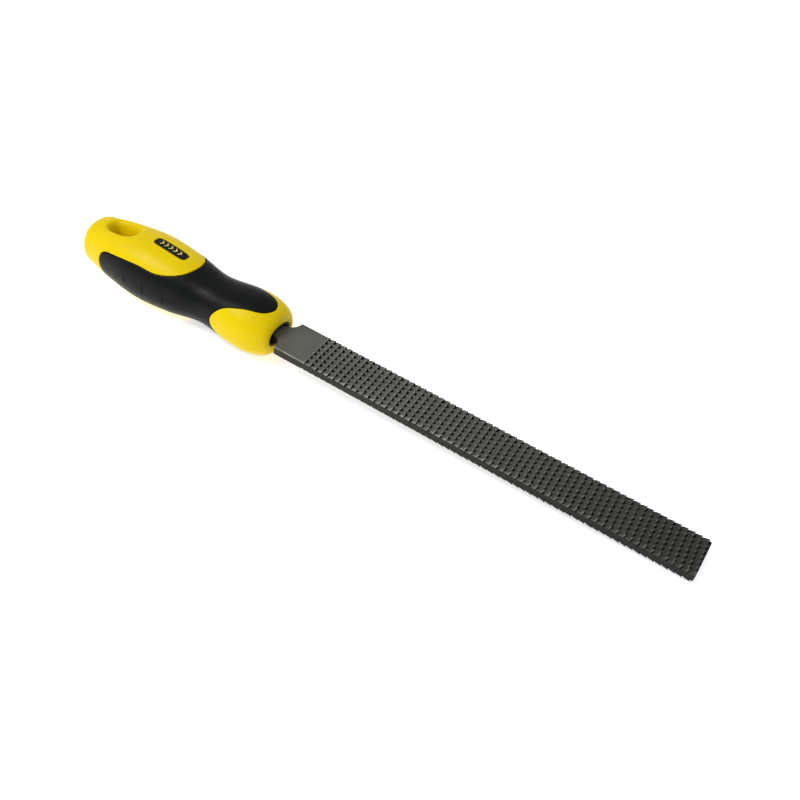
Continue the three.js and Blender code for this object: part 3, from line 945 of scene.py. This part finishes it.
class Nodes:
    """Builds one material's node tree."""

    def __init__(self, name):
        self.material = bpy.data.materials.new(name)
        self.material.use_nodes = True
        self.tree = self.material.node_tree
        self.shader = next(n for n in self.tree.nodes if n.type == "BSDF_PRINCIPLED")
        self.position = self.add("ShaderNodeTexCoord").outputs["Object"]

    def add(self, kind, **settings):
        node = self.tree.nodes.new(kind)
        for key, value in settings.items():
            setattr(node, key, value)
        return node

    def link(self, source, target):
        self.tree.links.new(source, target)

    def stretched(self, scale):
        """The position scaled by axis: a small scale draws a pattern out along its axis."""
        mapping = self.add("ShaderNodeMapping")
        mapping.inputs["Scale"].default_value = scale
        self.link(self.position, mapping.inputs["Vector"])
        return mapping.outputs["Vector"]

    def noise(self, scale, detail=3.0, roughness=0.5, vector=None):
        node = self.add("ShaderNodeTexNoise")
        node.inputs["Scale"].default_value = scale
        node.inputs["Detail"].default_value = detail
        node.inputs["Roughness"].default_value = roughness
        self.link(vector or self.position, node.inputs["Vector"])
        return node.outputs["Fac"]

    def remap(self, value, from_low, from_high, to_low=0.0, to_high=1.0):
        node = self.add("ShaderNodeMapRange", interpolation_type="SMOOTHSTEP")
        for key, number in zip(("From Min", "From Max", "To Min", "To Max"),
                               (from_low, from_high, to_low, to_high)):
            node.inputs[key].default_value = number
        self.link(value, node.inputs["Value"])
        return node.outputs["Result"]

    def math(self, operation, *values):
        node = self.add("ShaderNodeMath", operation=operation)
        for socket, value in zip(node.inputs, values):
            self.link(value, socket)
        return node.outputs["Value"]

    def mix(self, factor, a, b):
        node = self.add("ShaderNodeMix", data_type="RGBA")
        self.link(factor, node.inputs["Factor"])
        for name, value in (("A", a), ("B", b)):
            socket = next(s for s in node.inputs if s.name == name and s.type == "RGBA")
            if isinstance(value, tuple):
                socket.default_value = (*value, 1.0)
            else:
                self.link(value, socket)
        return next(s for s in node.outputs if s.type == "RGBA")

    def axis(self, name, signed=False):
        """One coordinate of the point in the frame, or how far it is from zero."""
        split = self.add("ShaderNodeSeparateXYZ")
        self.link(self.position, split.inputs["Vector"])
        return split.outputs[name] if signed else self.math("ABSOLUTE", split.outputs[name])

    def bump(self, height, distance, strength, after=None):
        node = self.add("ShaderNodeBump")
        node.inputs["Distance"].default_value = distance
        node.inputs["Strength"].default_value = strength
        self.link(height, node.inputs["Height"])
        if after is not None:
            self.link(after, node.inputs["Normal"])
        return node.outputs["Normal"]

    def finish(self, color, roughness, normal=None, **constants):
        """Links the maps, sets the shader's other sockets and gives the material."""
        for name, source in (("Base Color", color), ("Roughness", roughness), ("Normal", normal)):
            if source is not None:
                self.link(source, self.shader.inputs[name])
        for name, value in constants.items():
            self.shader.inputs[name.replace("_", " ")].default_value = value
        return self.material


def steel_color(n):
    """Lighter at the heel and darker towards the tip by a painted reflection falloff; painted shade in the
    pits, worn edges and tooth tips.
    """
    face = BLADE_HALF_THICKNESS * MM
    height = n.axis("Z")
    # Painted reflection falloff: from 40 mm past the shoulders to the tip the steel's colour darkens,
    # standing in for the brighter reflection near the heel.
    reflection_falloff_start = SHOULDER_X + 40 * MM
    along = n.remap(n.axis("X", signed=True), reflection_falloff_start, blade_high[0])
    patches = n.remap(n.noise(70.0, 5.0, 0.6), 0.36, 0.66)
    heel = n.mix(patches, (0.120, 0.122, 0.106), (0.142, 0.144, 0.126))
    smears = n.remap(n.noise(45.0, 4.0, 0.6), 0.35, 0.65)
    painted_dark_tip = n.mix(smears, (0.044, 0.048, 0.043), (0.054, 0.053, 0.046))

    # Painted shade: below the face the pits are darkened in colour, standing in for the shade inside them,
    # and darker still towards the tip.
    clear_of_pit_shade = n.remap(height, face - 0.6 * MM, face - 0.05 * MM)
    pit = n.mix(along, (0.030, 0.029, 0.023), (0.018, 0.018, 0.015))
    color = n.mix(clear_of_pit_shade, pit, n.mix(along, heel, painted_dark_tip))

    # Worn, lighter long edges; their darkening towards the tip is the painted reflection falloff.
    beside_face = n.remap(n.axis("Y"), 10.3 * MM, 10.7 * MM)
    above_wall = n.remap(height, face - 0.42 * MM, face - 0.25 * MM)
    rubbed = n.remap(n.noise(420.0, 3.0), 0.35, 0.6, 0.35, 1.0)
    edge = n.math("MULTIPLY", n.math("MULTIPLY", beside_face, above_wall), rubbed)
    color = n.mix(edge, color, n.mix(along, (0.20, 0.20, 0.18), (0.07, 0.075, 0.068)))

    # Painted shade: the side walls below the edges darken in colour towards the tip.
    below_edge = n.remap(height, face - 0.3 * MM, face - 0.5 * MM)
    wall = n.math("MULTIPLY", n.math("MULTIPLY", beside_face, below_edge), along)
    color = n.mix(wall, color, (0.020, 0.021, 0.019))

    # Worn, lighter tooth tips; their darkening towards the tip is the painted reflection falloff.
    tips = n.remap(height, face + 0.2 * MM, face + 0.8 * MM, 0.0, 0.65)
    return n.mix(tips, color, n.mix(along, (0.34, 0.34, 0.31), (0.20, 0.205, 0.185)))


def steel_material():
    """Dark tool steel, ground along the blade, with a fine grain."""
    n = Nodes("rasp_steel")
    color = steel_color(n)
    grinding = n.noise(900.0, 2.0, 0.5, n.stretched((0.06, 1.0, 1.0)))
    roughness = n.remap(n.noise(260.0, 4.0), 0.3, 0.7, 0.42, 0.58)
    normal = n.bump(grinding, 0.00003, 0.5)
    normal = n.bump(n.noise(1800.0, 3.0), 0.00002, 0.5, normal)
    return n.finish(color, roughness, normal, Metallic=0.55, Specular_IOR_Level=0.22)


def yellow_material():
    """Hard moulded plastic with a soft gloss, faint mottling and a fine orange peel."""
    n = Nodes("yellow_plastic")
    patches = n.remap(n.noise(35.0, 3.0), 0.3, 0.7)
    color = n.mix(patches, (0.690, 0.505, 0.0), (0.725, 0.535, 0.0))
    grime = n.remap(n.noise(160.0, 6.0, 0.7), 0.62, 0.8)
    color = n.mix(grime, color, (0.62, 0.44, 0.0))
    roughness = n.remap(n.noise(420.0, 4.0), 0.3, 0.7, 0.30, 0.38)
    normal = n.bump(n.noise(1300.0, 2.0), 0.00002, 0.35)
    scratches = n.noise(1400.0, 2.0, 0.5, n.stretched((0.05, 1.0, 1.0)))
    normal = n.bump(scratches, 0.000012, 0.3, normal)
    return n.finish(color, roughness, normal, Specular_IOR_Level=0.1)


def rubber_material():
    """Soft black overmould: satin, with a fine moulded grain."""
    n = Nodes("black_rubber")
    patches = n.remap(n.noise(60.0, 4.0), 0.3, 0.7)
    color = n.mix(patches, (0.0030, 0.0044, 0.0036), (0.0048, 0.0064, 0.0055))
    roughness = n.remap(n.noise(500.0, 4.0), 0.3, 0.7, 0.33, 0.42)
    grain = n.add("ShaderNodeTexVoronoi")
    grain.inputs["Scale"].default_value = 2600.0
    n.link(n.position, grain.inputs["Vector"])
    normal = n.bump(grain.outputs["Distance"], 0.00003, 0.35)
    normal = n.bump(n.noise(900.0, 3.0), 0.00003, 0.3, normal)
    return n.finish(color, roughness, normal, Specular_IOR_Level=0.09)


def small_moulding(name, patches, colors, gloss, roughness, grain, **constants):
    """Two close colours in patches, uneven gloss and a fine grain; patches and gloss are scales."""
    n = Nodes(name)
    color = n.mix(n.remap(n.noise(patches, 4.0), 0.3, 0.7), *colors)
    unevenness = n.remap(n.noise(gloss, 3.0), 0.3, 0.7, *roughness)
    grain_scale, grain_depth = grain
    normal = n.bump(n.noise(grain_scale), grain_depth, 0.4)
    return n.finish(color, unevenness, normal, **constants)


def liner_material():
    """Matt black moulding inside the mouth."""
    colors = (0.0025, 0.0022, 0.0018), (0.0045, 0.004, 0.0035)
    grain = 1500.0, 0.00002
    return small_moulding(
        "black_plastic", 200.0, colors, 700.0, (0.5, 0.62), grain, Specular_IOR_Level=0.25
    )


def plate_material():
    """Satin black of the label."""
    colors = (0.004, 0.004, 0.0035), (0.007, 0.007, 0.006)
    grain = 2000.0, 0.00001
    return small_moulding(
        "label_black", 300.0, colors, 900.0, (0.34, 0.46), grain, Specular_IOR_Level=0.15
    )


def mark_material():
    """Pale yellow of the label's raised marks."""
    colors = (0.72, 0.55, 0.12), (0.82, 0.66, 0.2)
    return small_moulding("label_marks", 600.0, colors, 900.0, (0.4, 0.5), (2000.0, 0.00001))


def floor_material():
    """Pale table with a faint light of its own, so that shadows on it stay light."""
    n = Nodes("pale_floor")
    color = n.mix(n.remap(n.noise(8.0, 3.0), 0.3, 0.7), (0.88, 0.88, 0.88), (0.90, 0.90, 0.90))
    roughness = n.remap(n.noise(40.0), 0.3, 0.7, 0.7, 0.8)
    glow = (1.0, 1.0, 1.0, 1.0)
    return n.finish(color, roughness, Emission_Color=glow, Emission_Strength=0.6, Specular_IOR_Level=0.2)


# ---- Camera, floor and light ----

CAMERA_PLACE = Vector((0.14325, -0.29419, 0.28738))
CAMERA_TARGET = Vector((0.01758, -0.00067, 0.0))
CAMERA_ROLL = math.radians(12.34)
CAMERA_LENS = 44.87
SKY_SEEN = 1.0
SKY_SHINING = 0.62
KEY_PLACE = Vector((-0.38, -0.27, 0.45))
KEY_TARGET = Vector((-0.1, 0.0, 0.0))
KEY_SIDE = 0.24
KEY_POWER = 2.1
FLOOR_HALF_SIZE = 3.0
BELLY_STATION = 2
# The rounded belly and nose reach a little below the line from the belly's middle to the tip
FLOOR_CLEARANCE = 0.3 * MM


def aimed(data, place, target, roll=0.0):
    """A camera or lamp put at a place, looking at a target."""
    turn = (target - place).to_track_quat("-Z", "Y") @ Quaternion((0, 0, 1), roll)
    piece = bpy.data.objects.new(data.name, data)
    piece.matrix_world = Matrix.Translation(place) @ turn.to_matrix().to_4x4()
    bpy.context.scene.collection.objects.link(piece)
    return piece


def camera():
    """Looks down on the rasp from its near side, with the blade running to the lower right."""
    data = bpy.data.cameras.new("camera")
    data.lens = CAMERA_LENS
    data.sensor_width = 36.0
    data.clip_start = 0.01
    bpy.context.scene.camera = aimed(data, CAMERA_PLACE, CAMERA_TARGET, CAMERA_ROLL)


def floor(material):
    """Pale ground under the rasp as it lies on the handle's belly and the blade's tip."""
    belly = Vector((SHOULDER_X + STATION_XS[BELLY_STATION] * MM, 0.0, core_low[2]))
    tip = Vector((blade_high[0], 0.0, blade_low[2]))
    along = (tip - belly).normalized()
    tilt = -math.asin(along.z)
    size = FLOOR_HALF_SIZE
    mesh = bpy.data.meshes.new("floor")
    corners = [(-size, -size, 0), (size, -size, 0), (size, size, 0), (-size, size, 0)]
    mesh.from_pydata(corners, [], [(0, 1, 2, 3)])
    mesh.materials.append(material)
    piece = bpy.data.objects.new("floor", mesh)
    piece.rotation_euler = (0.0, tilt, 0.0)
    piece.location = belly - Vector((0.0, 0.0, FLOOR_CLEARANCE))
    bpy.context.scene.collection.objects.link(piece)


def key_light():
    """Square lamp above and beyond the butt, on the near side."""
    data = bpy.data.lights.new("key", "AREA")
    data.shape = "RECTANGLE"
    data.size = data.size_y = KEY_SIDE
    data.energy = KEY_POWER
    aimed(data, KEY_PLACE, KEY_TARGET)


def sky_light():
    """White surroundings that look brighter to the camera than the light they give."""
    world = bpy.data.worlds.new("studio")
    world.use_nodes = True
    tree = world.node_tree
    background = tree.nodes["Background"]
    background.inputs["Color"].default_value = (1.0, 1.0, 1.0, 1.0)
    rays = tree.nodes.new("ShaderNodeLightPath")
    strength = tree.nodes.new("ShaderNodeMapRange")
    strength.inputs["To Min"].default_value = SKY_SHINING
    strength.inputs["To Max"].default_value = SKY_SEEN
    tree.links.new(rays.outputs["Is Camera Ray"], strength.inputs["Value"])
    tree.links.new(strength.outputs["Result"], background.inputs["Strength"])
    bpy.context.scene.world = world


# ---- Scene ----

camera()
floor(floor_material())
sky_light()
key_light()
blade(steel_material())
handle_core(yellow_material())
grip(rubber_material())
tang_socket(liner_material())
label_plate(plate_material(), mark_material())
bpy.context.scene.view_settings.view_transform = "Standard"
